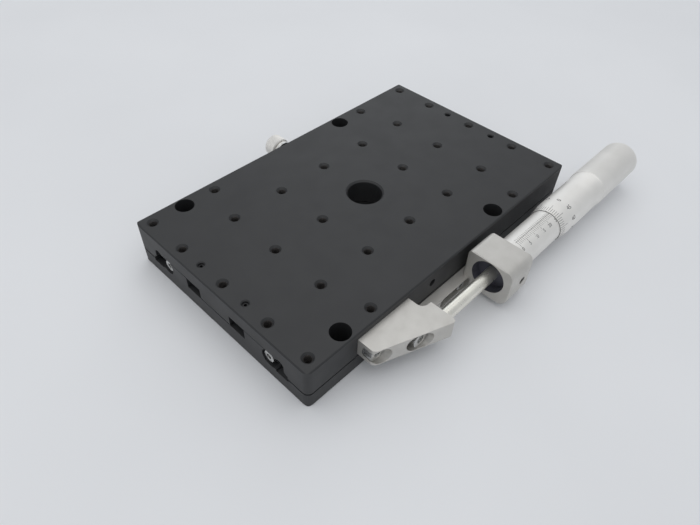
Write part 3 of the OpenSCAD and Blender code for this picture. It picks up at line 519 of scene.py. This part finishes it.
# (y, radius): collar, neck, toothed head and dished face
knob_outline = [(knob_low.y, 1.7 * MM), (knob_low.y, knob_r - 0.85 * MM),
                (knob_low.y + 0.15 * MM, knob_r - 0.70 * MM), (neck - 0.15 * MM, knob_r - 0.70 * MM),
                (neck, knob_r - 0.85 * MM), (neck, knob_r - 1.7 * MM), (head, knob_r - 1.7 * MM),
                (head, knob_r - 0.55 * MM)]
knob_outline += [(head + 0.4 * MM + (knob_high.y - head - 0.95 * MM) * i / KNOB_ROWS, knob_r)
                 for i in range(KNOB_ROWS + 1)]
knob_outline += [(knob_high.y - 0.15 * MM, knob_r - 0.35 * MM), (knob_high.y, knob_r - 0.8 * MM),
                 (knob_high.y, knob_r - 1.6 * MM), (knob_high.y - 0.25 * MM, knob_r - 1.9 * MM),
                 (knob_high.y - 0.25 * MM, 0)]
bm = bmesh.new()
spin_outline(bm, [(knob_mid.x, y, knob_mid.z + r) for y, r in knob_outline], knob_mid, (0, 1, 0),
             2 * KNOB_TEETH)
bmesh.ops.remove_doubles(bm, verts=bm.verts, dist=MERGE)
for vert in bm.verts:
    x, z = vert.co.x - knob_mid.x, vert.co.z - knob_mid.z
    r = math.hypot(x, z)
    if r > knob_r - 0.01 * MM:
        turn = math.atan2(z, x) / (2 * math.pi) * KNOB_TEETH
        scale = (r - KNOB_TOOTH * (1 - tooth(turn))) / r
        vert.co.x, vert.co.z = knob_mid.x + x * scale, knob_mid.z + z * scale
knob = finished("lock_knob_body", bm, CHROME, angle=25, normals=True)
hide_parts("lock_knob")
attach(knob, "lock_knob")


# ------------------------------------------------------------------ return springs

POST_R = 1.25 * MM
WIRE_R = 0.35 * MM
RING_R = 1.65 * MM                 # middle of the wire in a spring's end ring
RING_POINTS = 15
HOOK = 6 * MM                      # from a post to the coils
LEG = 1.2 * MM                     # between a ring or the coils and the straight leg
TURNS = 84
TURN_POINTS = 12


def end_ring(x, y, z, first):
    """The open ring round a post, from the angle first in degrees."""
    angles = [math.radians(first + 320 * i / (RING_POINTS - 1)) for i in range(RING_POINTS)]
    return [(x + RING_R * math.cos(a), y + RING_R * math.sin(a), z) for a in angles]


def coil_path(start, end, y, z, radius):
    """The wire's own line: the table's ring, a leg, the coils, a leg and the base's ring."""
    coil_in, coil_out = start + HOOK, end - HOOK
    points = end_ring(start, y, z, 20)
    points += [(start + RING_R + LEG, y, z), (coil_in - LEG, y, z)]
    count = TURNS * TURN_POINTS
    for i in range(count + 1):
        a = 2 * math.pi * i / TURN_POINTS
        grow = min(1, i / TURN_POINTS * 1.3, (count - i) / TURN_POINTS * 1.3)
        points.append((coil_in + (coil_out - coil_in) * i / count,
                       y + radius * grow * math.sin(a), z + radius * grow * math.cos(a)))
    points += [(coil_out + LEG, y, z), (end - RING_R - LEG, y, z)]
    return points + end_ring(end, y, z, 200)


def wire(name, points):
    curve = bpy.data.curves.new(name, "CURVE")
    curve.dimensions = "3D"
    curve.bevel_depth = WIRE_R
    curve.bevel_resolution = 1
    curve.use_fill_caps = True
    line = curve.splines.new("POLY")
    line.points.add(len(points) - 1)
    for point, co in zip(line.points, points):
        point.co = (*co, 1)
    return finished(name, from_curve(curve), WIRE, angle=80)


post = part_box("table_spring_posts")[0].x + POST_R
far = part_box("base_spring_posts")[0].x + POST_R
for side in ("front", "back"):
    low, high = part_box("spring_" + side)
    centre = (low + high) / 2
    coil_r = (high.z - low.z) / 2 - WIRE_R
    spring = wire("coil_spring_" + side, coil_path(post, far, centre.y, centre.z, coil_r))
    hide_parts("spring_" + side)
    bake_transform(spring)


# ------------------------------------------------------------------ floor, light, camera

bm = bmesh.new()
bmesh.ops.create_grid(bm, x_segments=1, y_segments=1, size=3)
floor_mesh = bpy.data.meshes.new("floor")
bm.to_mesh(floor_mesh)
bm.free()
floor = bpy.data.objects.new("floor", floor_mesh)
floor.location = (0, 0, -0.02 * MM)
bpy.context.scene.collection.objects.link(floor)
paper, paper_tree, paper_shader = finish_tree("floor_paper", (0.80, 0.81, 0.83), 0.65, 0.0)
paper_tree.links.new(tint(paper_tree, grain(paper_tree, 7, 3), (0.79, 0.80, 0.82),
                          (0.82, 0.83, 0.85)), paper_shader.inputs["Base Color"])
floor_mesh.materials.append(paper)

world = bpy.data.worlds.new("studio")
bpy.context.scene.world = world
world.use_nodes = True
sky = world.node_tree.nodes["Background"]
sky.inputs["Color"].default_value = (0.93, 0.96, 1.0, 1)
sky.inputs["Strength"].default_value = 0.52


def lamp(name, at, size, power, colour):
    """A round soft lamp that faces the origin."""
    light = bpy.data.lights.new(name, "AREA")
    light.shape = "DISK"
    light.size = size
    light.energy = power
    light.color = colour
    holder = bpy.data.objects.new(name, light)
    holder.location = at
    holder.rotation_mode = "QUATERNION"
    holder.rotation_quaternion = (-Vector(at)).to_track_quat("-Z", "Y")
    bpy.context.scene.collection.objects.link(holder)


lamp("ceiling", (-0.10, 0.05, 1.10), 2.0, 7.0, (1.0, 0.99, 0.97))
lamp("window", (0.80, 0.72, 0.60), 0.8, 1.0, (0.93, 0.97, 1.0))

VIEW_W = 700                       # the view's width, in pixels
FOCAL = 573.97                     # the lens's focal length, in the same pixels
camera = bpy.data.cameras.new("camera")
camera.sensor_width = 36
camera.lens = FOCAL / VIEW_W * camera.sensor_width
camera.clip_start = 0.01
camera.clip_end = 20
viewer = bpy.data.objects.new("camera", camera)
viewer.location = (-0.144958, -0.125302, 0.175441)
viewer.rotation_mode = "QUATERNION"
viewer.rotation_quaternion = Quaternion((0.856701, 0.338139, -0.158531, -0.355799))
bpy.context.scene.collection.objects.link(viewer)
bpy.context.scene.camera = viewer
bpy.context.scene.view_settings.view_transform = "Standard"
